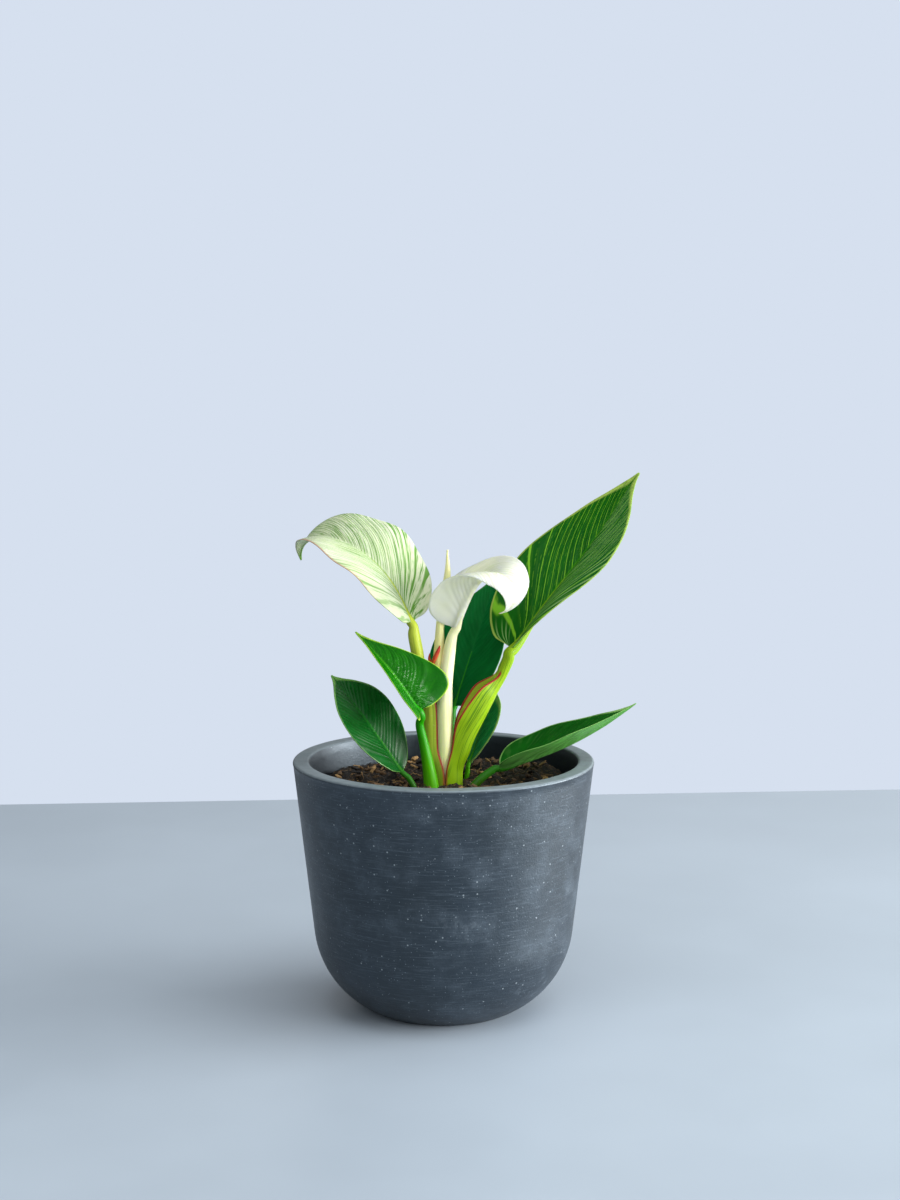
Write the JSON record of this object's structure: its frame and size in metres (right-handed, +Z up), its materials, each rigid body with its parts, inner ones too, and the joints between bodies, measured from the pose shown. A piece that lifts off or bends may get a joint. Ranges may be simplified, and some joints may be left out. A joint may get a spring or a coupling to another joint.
{
  "type": "potted philodendron birkin",
  "caption": "Young aroid house plant with variegated leaves on sheathed stalks, in a thick-rimmed round-bottomed pot filled with bark and coir soil.",
  "frame": {"origin": "centre of the pot's flat underside, where it rests", "axes": "+Z up along the pot's axis; -Y towards the front of the plant as pictured; +X towards the tall striped leaf, on the right seen from the front"},
  "size_m": [0.1303, 0.111, 0.1964],
  "materials": {
    "pot": "matt dark slate-grey composite with fine pale specks",
    "soil": "moist dark bark and coir mix",
    "blade_cream": "living leaf, cream with fine green streaks",
    "blade_white": "young leaf, ivory white with faint green flecks",
    "blade_striped": "waxy dark green leaf with fine yellow-cream vein stripes",
    "blade_green": "waxy dark green leaf with a thin pale margin",
    "blade_mid_green": "waxy mid-green leaf with a thin pale margin",
    "stalk_green": "smooth bright green stalk",
    "stalk_dark": "smooth dark green stalk",
    "stalk_olive": "yellow-green stalk and sheath with a red edge",
    "stalk_cream": "pale cream-yellow stalk"
  },
  "bodies": {
    "root": {"pot": "pot", "soil": "soil", "blade_arched_cream": "blade_cream", "blade_hooded_white": "blade_white", "blade_striped_tall": "blade_striped", "blade_back_green": "blade_green", "blade_left_middle": "blade_mid_green", "blade_left_low": "blade_green", "blade_back_small": "blade_green", "blade_right_low": "blade_green", "stalk_arched_cream": "stalk_olive", "stalk_hooded_white": "stalk_cream", "stalk_striped_tall": "stalk_olive", "stalk_back_green": "stalk_green", "stalk_left_middle": "stalk_green", "stalk_left_low": "stalk_dark", "stalk_back_small": "stalk_green", "stalk_right_low": "stalk_dark", "unopened_leaf": "stalk_cream"}
  },
  "joints": []
}
